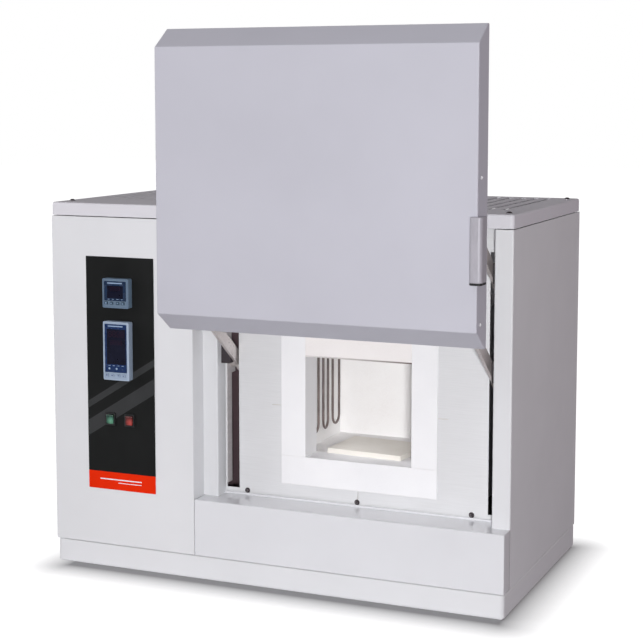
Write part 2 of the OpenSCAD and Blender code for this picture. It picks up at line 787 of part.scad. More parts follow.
// Angle rails behind the front plate, with a lug round each arm pivot
module pivot_rails() color("gray") at_corner() for (i = [0, 1]) difference() {
    flange_x = rail_x(i) - (i == 0 ? 20 : 0);
    union() {
        block([rail_x(i), plate_back, slot_bottom + 6], [rail_x(i) + rail_t, rail_back, slot_top + 15]);
        block([flange_x, plate_back, slot_bottom + 6], [flange_x + 20 + rail_t, plate_back + rail_t, slot_top + 15]);
        for (z = [pivot_low_z, pivot_high_z])
            block([rail_x(i), plate_back, z - lug_half], [rail_x(i) + rail_t, lug_back, z + lug_half]);
    }
    for (z = [pivot_low_z, pivot_high_z])
        rod_x(pivot_y, z, pivot_r, rail_x(i) - 1, rail_x(i) + rail_t + 1);
}

function rail_x(i) = i == 0 ? slot_x[0] + 0.5 - rail_t : slot_x[1] + slot_w[1] + 0.5;

// Each pin has a shoulder between rail and arm, and a head beyond the arm
module pivot_pins() color("silver") at_corner() for (z = [pivot_low_z, pivot_high_z], i = [0, 1]) {
    side = arm_sides[i];
    outer = i == 0 ? rail_x(0) : rail_x(1) + rail_t;
    shoulder = [outer - side[1] * rail_t, side[0] + side[1] * (arm_t / 2 + 0.5)];
    head = [side[0] - side[1] * (arm_t / 2 + 0.5), side[0] - side[1] * (arm_t / 2 + 3.5)];
    rod_x(pivot_y, z, pivot_r, min(outer, head[0]), max(outer, head[0]));
    for (span = [shoulder, head]) rod_x(pivot_y, z, pivot_r + 3, min(span), max(span));
}

// Dark blocks beside the slots that keep the arms from swaying sideways
module arm_guides() color("dimgray") at_corner() for (z = [pivot_low_z + 3, pivot_high_z + 3]) {
    block([cheek_x, plate_y - 16, z], [arm_left_x - arm_t / 2 - 0.6, plate_y, z + 32]);
    block([arm_right_x + arm_t / 2 + 0.6, plate_y - 16, z], [pillar_x, plate_y, z + 32]);
}

base_tray();
side_panel_left();
side_panel_right();
rear_panel();
column_front();
partition_wall();
lid();
lid_screws();
sill_cover();
recess_cheek();
front_plate();
front_plate_bolts();
overlay_panel();
limiter_case();
limiter_window();
limiter_key_1();
limiter_key_2();
limiter_key_3();
limiter_key_4();
controller_case();
controller_window();
controller_key_1();
controller_key_2();
controller_key_3();
controller_key_4();
button_frames();
green_button();
red_button();
collar_sides();
collar_bottom();
collar_lintel();
chamber_floor();
chamber_walls();
chamber_roof();
backing_boards();
furnace_casing();
support_frame();
heating_elements();
element_holders();
terminal_straps();
setter_plate();
thermocouple();
transformer();
power_controller();
contactor();
cable_gland();
door_shell();
door_back_plate();
door_insulation();
door_grip();
door_rivets();
door_brackets();
door_pins();
arm_lower_left();
arm_lower_right();
arm_upper_left();
arm_upper_right();
pivot_rails();
pivot_pins();
arm_guides();
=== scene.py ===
"""Looks of the bench-top chamber furnace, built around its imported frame. Metres, +Z up, front towards -Y."""

import math

import bmesh
import bpy
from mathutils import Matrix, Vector


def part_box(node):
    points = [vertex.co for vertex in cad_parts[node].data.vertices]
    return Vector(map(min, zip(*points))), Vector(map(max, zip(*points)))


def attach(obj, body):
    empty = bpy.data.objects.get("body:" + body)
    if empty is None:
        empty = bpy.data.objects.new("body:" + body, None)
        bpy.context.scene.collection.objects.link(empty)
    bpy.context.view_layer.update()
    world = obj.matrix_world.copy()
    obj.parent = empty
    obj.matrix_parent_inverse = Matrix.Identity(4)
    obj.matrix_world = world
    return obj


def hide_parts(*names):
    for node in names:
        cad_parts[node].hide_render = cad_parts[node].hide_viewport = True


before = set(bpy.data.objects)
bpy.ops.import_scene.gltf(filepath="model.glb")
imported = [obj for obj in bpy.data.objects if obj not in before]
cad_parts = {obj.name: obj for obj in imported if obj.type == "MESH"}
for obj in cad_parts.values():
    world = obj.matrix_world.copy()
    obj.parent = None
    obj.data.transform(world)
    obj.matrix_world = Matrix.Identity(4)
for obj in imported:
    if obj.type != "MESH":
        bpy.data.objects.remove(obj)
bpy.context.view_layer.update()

MM = 0.001
SHEET = 1.5 * MM  # thickness of the cabinet's and the door's sheet
SEAM = 1.0 * MM  # gap under the lower edge of a cover
INK = 0.08 * MM  # thickness of printing
DARK_STRIP = 1.5 * MM  # height of the darker strip along the lintel's lower edge
WHITE = (1.0, 1.0, 1.0, 1.0)
CABINET, DOOR = "cabinet", "door"


def srgb(red, green, blue):
    """Linear colour of an 8-bit display colour."""
    return (*[(c / 255) ** 2.2 for c in (red, green, blue)], 1.0)


def scaled(colour, factor, lift=0.0):
    """A linear colour made darker or lighter."""
    return (*[min(1.0, c * factor + lift) for c in colour[:3]], 1.0)


# --- materials ---------------------------------------------------------------------------------


class Nodes:
    """A new material with its Principled shader and short calls for adding nodes to it."""

    def __init__(self, name):
        self.material = bpy.data.materials.new(name)
        self.material.use_nodes = True
        self.tree = self.material.node_tree
        self.shader = self.tree.nodes["Principled BSDF"]
        self.place = self.add("ShaderNodeTexCoord").outputs["Object"]

    def add(self, kind, inputs=None, **settings):
        node = self.tree.nodes.new(kind)
        for key, value in settings.items():
            setattr(node, key, value)
        for key, value in (inputs or {}).items():
            self.put(value, node.inputs[key])
        return node

    def put(self, value, socket):
        if isinstance(value, bpy.types.NodeSocket):
            self.tree.links.new(value, socket)
        else:
            socket.default_value = value

    def stretched(self, stretch):
        """Object coordinates, stretched along the axes."""
        mapping = self.add("ShaderNodeMapping", {"Vector": self.place, "Scale": stretch})
        return mapping.outputs["Vector"]

    def noise(self, scale, detail=2.0, stretch=None, roughness=0.5):
        vector = self.stretched(stretch) if stretch else self.place
        node = self.add("ShaderNodeTexNoise", {"Vector": vector, "Scale": scale, "Detail": detail,
                                               "Roughness": roughness})
        return node.outputs["Fac"]

    def remap(self, value, low, high, to_low, to_high):
        node = self.add("ShaderNodeMapRange", {"Value": value, "From Min": low, "From Max": high,
                                               "To Min": to_low, "To Max": to_high})
        return node.outputs["Result"]

    def math(self, operation, first, second=0.0):
        node = self.add("ShaderNodeMath", operation=operation)
        self.put(first, node.inputs[0])
        self.put(second, node.inputs[1])
        return node.outputs["Value"]

    def vector(self, operation, first, second=(0.0, 0.0, 0.0)):
        """Vector maths: a number where the operation measures something, and a vector otherwise."""
        node = self.add("ShaderNodeVectorMath", operation=operation)
        self.put(first, node.inputs[0])
        self.put(second, node.inputs[1])
        measures = operation in ("DOT_PRODUCT", "DISTANCE", "LENGTH")
        return node.outputs["Value" if measures else "Vector"]

    def axis(self, letter):
        """One of the object coordinates."""
        return self.add("ShaderNodeSeparateXYZ", {"Vector": self.place}).outputs[letter]

    def mix(self, factor, first, second):
        node = self.add("ShaderNodeMix", data_type="RGBA")
        self.put(factor, node.inputs["Factor"])
        self.put(first, node.inputs["A"])
        self.put(second, node.inputs["B"])
        return node.outputs["Result"]

    def edges(self, radius):
        """The rounded normal, and 1 along sharp edges and 0 on flat stretches, from how far it turns."""
        rounded = self.add("ShaderNodeBevel", {"Radius": radius}, samples=4).outputs["Normal"]
        true = self.add("ShaderNodeNewGeometry").outputs["Normal"]
        return rounded, self.remap(self.vector("DOT_PRODUCT", rounded, true), 0.995, 0.80, 0.0, 1.0)

    def finish(self, colour, roughness, bump=None, distance=0.0, normal=None, **constants):
        """Wires the shader. Constants are uniform values, named as the shader's sockets with _ for spaces."""
        self.put(colour, self.shader.inputs["Base Color"])
        self.put(roughness, self.shader.inputs["Roughness"])
        if bump is not None:
            node = self.add("ShaderNodeBump", {"Height": bump, "Distance": distance, "Strength": 1.0})
            if normal is not None:
                self.put(normal, node.inputs["Normal"])
            normal = node.outputs["Normal"]
        if normal is not None:
            self.put(normal, self.shader.inputs["Normal"])
        for key, value in constants.items():
            self.shader.inputs[key.replace("_", " ")].default_value = value
        return self.material


def powder_coat(name, colour, roughness=0.45, peel=0.00003, worn=srgb(236, 237, 240), coat=0.0):
    """Baked powder coat: faint clouding, orange peel, slightly polished and lighter edges."""
    n = Nodes(name)
    rounded, edge = n.edges(0.0012)
    clouds = n.noise(7.0, 3.0)
    tint = n.mix(n.remap(clouds, 0.3, 0.7, 0.0, 1.0), scaled(colour, 0.975), scaled(colour, 1.02))
    wear = n.math("MULTIPLY", edge, n.remap(n.noise(90.0), 0.35, 0.75, 0.0, 0.45))
    rough = n.remap(n.noise(24.0, 4.0), 0.3, 0.7, roughness - 0.05, roughness + 0.06)
    return n.finish(n.mix(wear, tint, worn), rough, n.noise(1100.0, 1.0), peel, rounded,
                    Coat_Weight=coat, Coat_Roughness=0.08)


def brushed_metal(name, colour, roughness=0.36, stretch=(1.0, 1.0, 60.0), scale=22.0, metallic=1.0,
                  lines=0.00002, contrast=0.12):
    """Brushed or rolled metal: fine parallel lines, blotches in the roughness, bright edges."""
    n = Nodes(name)
    rounded, edge = n.edges(0.0008)
    grain = n.noise(scale, 4.0, stretch, 0.65)
    base = n.mix(n.remap(grain, 0.35, 0.65, 0.0, 1.0), scaled(colour, 1 - contrast), colour)
    tint = n.mix(n.math("MULTIPLY", edge, 0.5), base, srgb(240, 240, 242))
    smudge = n.remap(n.noise(9.0, 3.0), 0.3, 0.7, -0.06, 0.07)
    rough = n.math("ADD", n.remap(grain, 0.3, 0.7, roughness - 0.05, roughness + 0.05), smudge)
    return n.finish(tint, rough, grain, lines, rounded, Metallic=metallic)


def fibre_board(name, colour, shade, coarse=1.0, darkened_edge=None):
    """Vacuum-formed ceramic fibre: chalky, with short fibres, soft hollows and faint stains.

    The box given last is that of a board whose colour turns darker along its lower edge, more so to the right.
    """
    n = Nodes(name)
    rounded, edge = n.edges(0.0015)
    stains = n.remap(n.noise(11.0, 4.0), 0.35, 0.7, 0.0, 1.0)
    fibres = n.noise(420.0 * coarse, 5.0, (1.0, 1.0, 2.6), 0.7)
    hollows = n.noise(60.0 * coarse, 3.0)
    height = n.math("ADD", n.math("MULTIPLY", fibres, 0.5), hollows)
    tint = n.mix(n.math("MULTIPLY", stains, n.remap(fibres, 0.35, 0.6, 1.0, 0.3)), colour, shade)
    worn = n.mix(n.math("MULTIPLY", edge, 0.35), tint, srgb(252, 252, 250))
    if darkened_edge:
        lo, hi = darkened_edge
        # Darker towards the given board's lower edge, more so to the right.
        low_down = n.remap(n.axis("Z"), lo.z + DARK_STRIP, lo.z + 2 * DARK_STRIP, 1.0, 0.0)
        rightwards = n.remap(n.axis("X"), lo.x, hi.x, 0.2, 1.0)
        worn = n.mix(n.math("MULTIPLY", low_down, rightwards), worn, srgb(112, 98, 94))
    rough = n.remap(fibres, 0.3, 0.7, 0.86, 0.98)
    return n.finish(worn, rough, height, 0.00035, rounded)


def moulded_plastic(name, colour, roughness=0.4, texture=0.00003, edge_colour=None, **constants):
    """Moulded plastic: fine spark-eroded texture, faint flow marks, edges polished by touch."""
    n = Nodes(name)
    rounded, edge = n.edges(0.0007)
    flow = n.remap(n.noise(30.0, 2.0, (1.0, 1.0, 3.0)), 0.3, 0.7, 0.0, 1.0)
    tint = n.mix(flow, scaled(colour, 0.93), colour)
    shown = n.mix(n.math("MULTIPLY", edge, 0.5), tint, edge_colour or scaled(colour, 1.35, 0.01))
    rough = n.remap(n.noise(140.0, 3.0), 0.3, 0.7, roughness - 0.06, roughness + 0.06)
    return n.finish(shown, rough, n.noise(1500.0, 1.0), texture, rounded, **constants)


def sintered(name, colour, shade, roughness=0.8, speckle=300.0, depth=0.00012):
    """Unglazed fired ceramic: grainy, with darker specks, and lighter along its edges."""
    n = Nodes(name)
    rounded, edge = n.edges(0.0012)
    blotch = n.remap(n.noise(18.0, 4.0), 0.35, 0.7, 0.0, 1.0)
    specks = n.remap(n.noise(speckle, 2.0), 0.62, 0.74, 0.0, 0.5)
    tint = n.mix(n.math("MAXIMUM", n.math("MULTIPLY", blotch, 0.6), specks), colour, shade)
    shown = n.mix(n.math("MULTIPLY", edge, 0.4), tint, srgb(244, 240, 230))
    rough = n.remap(blotch, 0.0, 1.0, roughness - 0.08, roughness + 0.08)
    return n.finish(shown, rough, n.noise(speckle * 2, 3.0), depth, rounded)


def oxide_rod(name, foot):
    """Heating rod: grey-brown glassy oxide over the hot part, duller and darker above its foot."""
    n = Nodes(name)
    scale_up = n.remap(n.axis("Z"), foot + 5 * MM, foot + 235 * MM, 0.0, 1.0)
    mottle = n.remap(n.noise(160.0, 4.0, (1.0, 1.0, 0.4)), 0.3, 0.7, 0.0, 1.0)
    hot = n.mix(mottle, srgb(104, 93, 91), srgb(134, 121, 117))
    shown = n.mix(scale_up, hot, srgb(92, 88, 86))
    rough = n.remap(mottle, 0.0, 1.0, 0.28, 0.5)
    return n.finish(shown, rough, n.noise(500.0, 3.0), 0.00006, Metallic=0.25)


def dark_glass(name, colour):
    """Tinted window: deep colour with a faint cloudy film and a glossy face."""
    n = Nodes(name)
    film = n.remap(n.noise(60.0, 3.0), 0.35, 0.75, 0.0, 1.0)
    shown = n.mix(n.math("MULTIPLY", film, 0.2), colour, srgb(44, 48, 70))
    rough = n.remap(n.noise(35.0, 3.0), 0.3, 0.7, 0.08, 0.2)
    return n.finish(shown, rough, n.noise(14.0, 1.0), 0.00002, Specular_IOR_Level=0.25)


def push_lens(name, colour, glow, centre):
    """Ribbed translucent cap with a painted highlight: lighter round a spot, standing in for light that comes
    out again.
    """
    n = Nodes(name)
    # Painted highlight: the lens turns to its lighter colour round a spot.
    bright = n.remap(n.vector("DISTANCE", n.place, centre), 1.5 * MM, 8.5 * MM, 1.0, 0.0)
    ribs = n.add("ShaderNodeTexWave", {"Vector": n.place, "Scale": 260.0, "Distortion": 0.4},
                 bands_direction="X").outputs["Fac"]
    shown = n.mix(bright, colour, glow)
    rough = n.remap(ribs, 0.0, 1.0, 0.18, 0.3)
    return n.finish(shown, rough, ribs, 0.00012, Subsurface_Weight=0.25, Coat_Weight=0.5,
                    Subsurface_Scale=0.002)


def printed_film(name, colour, roughness=0.3):
    """Screen-printed polyester film: very fine lacquer grain and a few dull smears."""
    n = Nodes(name)
    smear = n.remap(n.noise(13.0, 3.0, (1.0, 1.0, 0.5)), 0.4, 0.75, 0.0, 1.0)
    shown = n.mix(smear, colour, scaled(colour, 1.15, 0.002))
    rough = n.remap(smear, 0.0, 1.0, roughness, roughness + 0.14)
    return n.finish(shown, rough, n.noise(900.0, 1.0), 0.00001, Specular_IOR_Level=0.08)


PAINT = powder_coat("cabinet_powder_coat", srgb(222, 223, 226))
LID_PAINT = powder_coat("lid_powder_coat", srgb(217, 216, 222), 0.55)
DOOR_PAINT = powder_coat("door_powder_coat", srgb(192, 192, 202), 0.5, worn=srgb(206, 206, 213))
SILL_PAINT = powder_coat("sill_gloss_coat", srgb(222, 223, 227), 0.2, 0.00001, coat=0.5)
STAINLESS = brushed_metal("stainless_front_plate", srgb(236, 237, 239), 0.42, metallic=0.25, lines=0.000003,
                          contrast=0.05)
RAIL_ZINC = brushed_metal("rail_zinc_coat", srgb(222, 216, 218), 0.6, (1.0, 1.0, 4.0), 30.0, 0.0)
GALVANISED = brushed_metal("zinc_coated_sheet", srgb(196, 194, 196), 0.48, (1.0, 1.0, 4.0), 30.0, 0.3)
PLATED = brushed_metal("zinc_plated_steel", srgb(200, 192, 190), 0.36, (1.0, 14.0, 14.0), 20.0, 0.45)
BLACK_OXIDE = brushed_metal("black_oxide_steel", srgb(76, 68, 72), 0.3, (1.0, 1.0, 2.0), 60.0, 0.6)
DARK_SHEET = brushed_metal("partition_dark_coat", srgb(128, 106, 112), 0.6, (1.0, 1.0, 4.0), 30.0, 0.0)
ALUMINIUM = brushed_metal("aluminium_strap_metal", srgb(200, 201, 204), 0.38, (1.0, 20.0, 1.0), 30.0)
GRIP_METAL = brushed_metal("grip_anodised", srgb(178, 176, 184), 0.5, (6.0, 6.0, 1.0), 40.0, 0.2)
HEAT_SINK = brushed_metal("heat_sink_black", srgb(62, 63, 66), 0.5, (1.0, 1.0, 30.0), 30.0)
BOARD = fibre_board("collar_fibre_board", srgb(246, 246, 248), srgb(238, 238, 241))
HOT_BOARD = fibre_board("chamber_fibre_board", srgb(246, 245, 245), srgb(234, 231, 230), 0.8)
LINTEL_BOARD = fibre_board("lintel_fibre_board", srgb(247, 243, 242), srgb(238, 233, 230), 0.9,
                           darkened_edge=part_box("collar_lintel"))
BACKING = fibre_board("backing_fibre_board", srgb(236, 232, 224), srgb(216, 210, 200), 0.6)
ELEMENT = oxide_rod("element_oxide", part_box("heating_elements")[0].z)
SETTER = sintered("setter_tile", srgb(238, 234, 227), srgb(226, 221, 212))
CREAM = sintered("holder_ceramic_body", srgb(222, 214, 196), srgb(196, 186, 166))
LIMITER = moulded_plastic("limiter_housing", srgb(104, 124, 144))
CONTROLLER = moulded_plastic("controller_housing", srgb(154, 171, 192))
LIMITER_RIM = moulded_plastic("limiter_rim_plastic", srgb(98, 118, 140), 0.34)
CONTROLLER_RIM = moulded_plastic("controller_rim_plastic", srgb(164, 180, 200), 0.34)
LIMITER_FASCIA = moulded_plastic("instrument_fascia", srgb(26, 46, 72), 0.25)
# Painted shade of the controller's finger notch: a darker tone of the case colour.
NOTCH_SHADE = moulded_plastic("notch_painted_shade", srgb(92, 106, 136), 0.5)
CONTROLLER_FASCIA = moulded_plastic("controller_fascia", srgb(18, 46, 88), 0.25)
LIMITER_KEY = moulded_plastic("limiter_key_plastic", srgb(58, 80, 98), 0.45)
CONTROLLER_KEY = moulded_plastic("controller_key_plastic", srgb(148, 164, 186), 0.45)
PRINT_WHITE = printed_film("print_white", srgb(226, 232, 240), 0.4)
PRINT_BLUE = printed_film("print_blue", srgb(146, 168, 196), 0.4)
PRINT_NAVY = printed_film("print_navy", srgb(74, 84, 124), 0.4)
DISPLAY = dark_glass("display_window", srgb(15, 17, 34))
SEGMENT_OFF = printed_film("segment_unlit", srgb(52, 30, 44), 0.5)
BLACK_PLASTIC = moulded_plastic("black_moulding", srgb(30, 31, 32), 0.5, edge_colour=srgb(44, 45, 46))
GUIDE_PLASTIC = moulded_plastic("guide_block_plastic", srgb(58, 52, 56), 0.5)
DEVICE_PLASTIC = moulded_plastic("device_housing", srgb(206, 206, 198), 0.5)
WHITE_CAP = moulded_plastic("rivet_cap", srgb(236, 237, 240), 0.25)
TRANSFORMER = powder_coat("transformer_varnish", srgb(60, 58, 56), 0.5, 0.0001, srgb(120, 116, 112))
FILM_BLACK = printed_film("film_black", srgb(33, 34, 34), 0.4)
FILM_GREY = printed_film("film_grey", srgb(58, 59, 60), 0.4)
FILM_RED = printed_film("film_red", srgb(224, 46, 10), 0.4)

# --- meshes ------------------------------------------------------------------------------------


def arc_corner(before, corner, after, radius, steps):
    """Points of the arc that rounds a polygon's corner."""
    to_before, to_after = (before - corner).normalized(), (after - corner).normalized()
    half = math.acos(max(-1.0, min(1.0, to_before.dot(to_after)))) / 2
    if radius <= 0 or half > math.pi / 2 - 0.02:
        return [corner]
    centre = corner + (to_before + to_after).normalized() * radius / math.sin(half)
    reach = radius / math.tan(half)
    start, end = corner + to_before * reach - centre, corner + to_after * reach - centre
    sweep = start.angle_signed(end)
    points = []
    for i in range(steps + 1):
        turn = -sweep * i / steps
        cos, sin = math.cos(turn), math.sin(turn)
        points.append(centre + Vector((start.x * cos - start.y * sin, start.x * sin + start.y * cos)))
    return points


def rounded(points, radius, closed=True, steps=5):
    """A polygon or line of 2D points with its corners rounded; the ends of a line stay."""
    corners = [Vector(p) for p in points]
    count = len(corners)
    made = []
    for i, corner in enumerate(corners):
        if not closed and i in (0, count - 1):
            made.append(corner)
        else:
            made += arc_corner(corners[i - 1], corner, corners[(i + 1) % count], radius, steps)
    return made


def rectangle(lo, hi):
    return [(lo[0], lo[1]), (hi[0], lo[1]), (hi[0], hi[1]), (lo[0], hi[1])]


def arc(centre, radii, start, sweep, steps):
    """Points along an arc of an ellipse, with both its ends."""
    turns = [start + sweep * i / steps for i in range(steps + 1)]
    return [(centre[0] + radii[0] * math.cos(t), centre[1] + radii[1] * math.sin(t)) for t in turns]


def circle(centre, radius, steps=24):
    return arc(centre, (radius, radius), 0.0, 2 * math.pi, steps)[:-1]


def along(axis, point, depth):
    """3D place of a 2D point in the plane across an axis, at a depth along that axis."""
    if axis == "X":
        return (depth, point[0], point[1])
    if axis == "Y":
        return (point[0], depth, point[1])
    return (point[0], point[1], depth)


def add_strip(bm, axis, points, low, high, closed):
    """Faces that follow a line of points, from low to high along the axis. Returns both edges."""
    rings = [[bm.verts.new(along(axis, p, depth)) for p in points] for depth in (low, high)]
    count = len(points)
    for i in range(count if closed else count - 1):
        j = (i + 1) % count
        bm.faces.new((rings[0][i], rings[0][j], rings[1][j], rings[1][i]))
    return rings


def build(name, bm, material, body, bevel=0.0, thickness=0.0, segments=3, bevel_angle=40):
    """Makes the object, with its rounding and its sheet thickness, and lets it ride on a body."""
    bmesh.ops.remove_doubles(bm, verts=bm.verts, dist=1e-6)
    bmesh.ops.recalc_face_normals(bm, faces=bm.faces)
    mesh = bpy.data.meshes.new(name)
    bm.to_mesh(mesh)
    bm.free()
    mesh.materials.append(material)
    for polygon in mesh.polygons:
        polygon.use_smooth = True
    mesh.set_sharp_from_angle(angle=math.radians(35))
    piece = bpy.data.objects.new(name, mesh)
    bpy.context.scene.collection.objects.link(piece)
    if bevel:
        add_bevel(piece, bevel, segments, bevel_angle)
    if thickness:
        solid = piece.modifiers.new("sheet", "SOLIDIFY")
        solid.thickness, solid.offset = thickness, -1.0
        solid.use_even_offset = True
    weighted = piece.modifiers.new("flat_faces", "WEIGHTED_NORMAL")
    weighted.keep_sharp, weighted.weight = True, 100
    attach(piece, body)
    return piece


def add_bevel(piece, width, segments=3, angle=40):
    bevel = piece.modifiers.new("rounding", "BEVEL")
    bevel.width, bevel.segments = width, segments
    bevel.limit_method, bevel.angle_limit = "ANGLE", math.radians(angle)
    bevel.harden_normals = True
    bevel.use_clamp_overlap = True


def prism(name, axis, outline, low, high, material, body, bevel=0.0, segments=3, bevel_angle=40):
    """A closed solid: an outline carried along an axis."""
    bm = bmesh.new()
    rings = add_strip(bm, axis, outline, low, high, closed=True)
    for ring in rings:
        bm.faces.new(ring)
    return build(name, bm, material, body, bevel, segments=segments, bevel_angle=bevel_angle)


def cut(piece, boxes):
    """Cuts boxes out of a piece, for good."""
    bm = bmesh.new()
    for lo, hi in boxes:
        rings = add_strip(bm, "Z", rectangle(lo, hi), lo[2], hi[2], closed=True)
        for ring in rings:
            bm.faces.new(ring)
    bmesh.ops.recalc_face_normals(bm, faces=bm.faces)
    mesh = bpy.data.meshes.new("cutter")
    bm.to_mesh(mesh)
    bm.free()
    cutter = bpy.data.objects.new("cutter", mesh)
    bpy.context.scene.collection.objects.link(cutter)
    boolean = piece.modifiers.new("cut", "BOOLEAN")
    boolean.operation, boolean.solver, boolean.object = "DIFFERENCE", "EXACT", cutter
    bpy.context.view_layer.update()
    evaluated = piece.evaluated_get(bpy.context.evaluated_depsgraph_get())
    made = bpy.data.meshes.new_from_object(evaluated)
    piece.modifiers.clear()
    piece.data = made
    bpy.data.objects.remove(cutter)


# --- cabinet -----------------------------------------------------------------------------------


def make_base_tray():
    """Folded tray with rounded corners and a flange turned inwards."""
    lo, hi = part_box("base_tray")
    fold, corner, flange, flange_corner = 3.0 * MM, 7.0 * MM, 12.0 * MM, 2.0 * MM
    outline = rounded(rectangle(lo, hi), corner)
    inner = rounded(rectangle((lo.x + flange, lo.y + flange), (hi.x - flange, hi.y - flange)), flange_corner)
    bm = bmesh.new()
    bottom, top = add_strip(bm, "Z", outline, lo.z, hi.z, closed=True)
    bm.faces.new(bottom)
    lip = [bm.verts.new((p.x, p.y, hi.z)) for p in inner]
    for i in range(len(top)):
        j = (i + 1) % len(top)
        bm.faces.new((top[i], top[j], lip[j], lip[i]))
    tray = build("base_tray_folded", bm, PAINT, CABINET, fold, SHEET)
    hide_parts("base_tray")


def make_column_front():
    """Front of the control column, folded back on both sides."""
    lo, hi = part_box("column_front")
    line = rounded([(lo.x, lo.y + SHEET), (lo.x, lo.y), (hi.x, lo.y), (hi.x, hi.y)], 1.3 * MM, closed=False)
    bm = bmesh.new()
    add_strip(bm, "Z", line, lo.z + SEAM, hi.z, closed=False)
    front = build("column_front_folded", bm, PAINT, CABINET, thickness=SHEET)
    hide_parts("column_front")


def make_right_panel():
    """Right side with the pillar beside the recess, folded from one sheet."""
    lo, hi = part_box("side_panel_right")
    pillar_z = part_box("recess_cheek")[0].z
    pillar_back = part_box("front_plate")[1].y - SHEET
    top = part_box("column_front")[1].z
    pillar = rounded([(lo.x, pillar_back), (lo.x, lo.y), (hi.x, lo.y), (hi.x, hi.y)], 2.4 * MM, closed=False)
    side = [Vector((hi.x, lo.y + SHEET)), Vector((hi.x, hi.y))]
    bm = bmesh.new()
    add_strip(bm, "Z", pillar, pillar_z, top, closed=False)
    add_strip(bm, "Z", side, lo.z + SEAM, pillar_z, closed=False)
    for face in bm.faces:
        if face.calc_center_median().z < pillar_z:
            face.normal_flip()
    panel = build("side_panel_right_folded", bm, PAINT, CABINET, thickness=SHEET)
    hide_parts("side_panel_right")


def make_recess_cheek():
    """Cheek at the left of the recess: a front strip, folded back along the recess."""
    lo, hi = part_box("recess_cheek")
    line = rounded([(lo.x, lo.y), (hi.x, lo.y), (hi.x, hi.y)], 2.0 * MM, closed=False)
    bm = bmesh.new()
    add_strip(bm, "Z", line, lo.z, hi.z, closed=False)
    cheek = build("recess_cheek_folded", bm, PAINT, CABINET, thickness=SHEET)
    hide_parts("recess_cheek")


def make_sill():
    """Sill in front of the furnace: front and top in one fold, with end cheeks."""
    lo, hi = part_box("sill_cover")
    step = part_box("side_panel_right")[0].y
    inner_right = hi.x - 2 * SHEET
    bottom = lo.z + SEAM
    deep = rounded([(lo.y, bottom), (lo.y, hi.z), (step, hi.z), (hi.y, hi.z)], 2.4 * MM, closed=False)
    shallow = deep[:-1]
    bm = bmesh.new()
    for line, left, right in ((deep, lo.x, inner_right), (shallow, inner_right, hi.x)):
        add_strip(bm, "X", line, left, right, closed=False)
    for x in (lo.x, hi.x):
        corner = bm.verts.new((x, step, bottom))
        bm.faces.new([bm.verts.new((x, p[0], p[1])) for p in shallow] + [corner])
    sill = build("sill_cover_folded", bm, SILL_PAINT, CABINET, 1.2 * MM, SHEET)
    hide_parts("sill_cover")


def make_sill_flange():
    """Upright flange at the back of the sill, which the front plate's lower bolts hold."""
    plate_lo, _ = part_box("front_plate")
    _, sill_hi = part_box("sill_cover")
    bolts_lo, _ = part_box("front_plate_bolts")
    left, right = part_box("recess_cheek")[1].x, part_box("side_panel_right")[0].x
    front, back = plate_lo.y - SHEET, plate_lo.y
    top = bolts_lo.z + 1.2 * MM
    line = rounded([(front, sill_hi.z), (front, top), (back, top)], 1.2 * MM, closed=False)
    bm = bmesh.new()
    add_strip(bm, "X", line, left, right, closed=False)
    build("sill_flange", bm, SILL_PAINT, CABINET)


VENT_FIRST, VENT_PITCH, VENT_COUNT = 30.0 * MM, 22.0 * MM, 33
VENT_WIDTH, VENT_FRONT, VENT_LENGTH = 8.0 * MM, 120.0 * MM, 280.0 * MM


def make_lid():
    """Stepped lid with rounded edges and a row of vent slots."""
    lo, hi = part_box("lid")
    corner, edge = 6.0 * MM, 3.0 * MM
    step_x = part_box("sill_cover")[0].x
    step_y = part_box("side_panel_right")[0].y
    outline = rounded([(lo.x, lo.y), (step_x, lo.y), (step_x, step_y), (hi.x, step_y), (hi.x, hi.y),
                       (lo.x, hi.y)], corner)
    bm = bmesh.new()
    _, top = add_strip(bm, "Z", outline, lo.z, hi.z, closed=True)
    bm.faces.new(top)
    lid = build("lid_folded", bm, LID_PAINT, CABINET, edge, SHEET)
    front = lo.y + VENT_FRONT
    slots = []
    for i in range(VENT_COUNT):
        x = lo.x + VENT_FIRST + i * VENT_PITCH
        slots.append(((x - VENT_WIDTH / 2, front, hi.z - 2 * SHEET),
                      (x + VENT_WIDTH / 2, front + VENT_LENGTH, hi.z + SHEET)))
    cut(lid, slots)
    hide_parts("lid")


# --- control panel -----------------------------------------------------------------------------


RED_BAND = 29.3 * MM
STRIPE_SLOPE = 0.62
# Height of each stripe above the red band at the panel's left edge, and its width.
STRIPES = {"wide": (58.0 * MM, 26.0 * MM), "narrow": (104.0 * MM, 12.0 * MM)}
# Start of each white rule from the panel's left edge, its height over the red band's middle, and its width.
RULES = {"long": (22.0 * MM, 1.5 * MM, 1.8 * MM), "short": (56.0 * MM, -3.2 * MM, 1.0 * MM)}
RULE_END = 100.0 * MM


def clip_band(lo, hi, low, high, slope):
    """The part of a slanted band that lies in a rectangle: low and high are its heights at lo's side."""
    points = []
    width = hi[0] - lo[0]
    steps = 24
    for start, order in ((low, range(steps + 1)), (high, range(steps, -1, -1))):
        for i in order:
            x = lo[0] + width * i / steps
            z = min(max(start + slope * (x - lo[0]), lo[1]), hi[1])
            points.append((x, z))
    return points


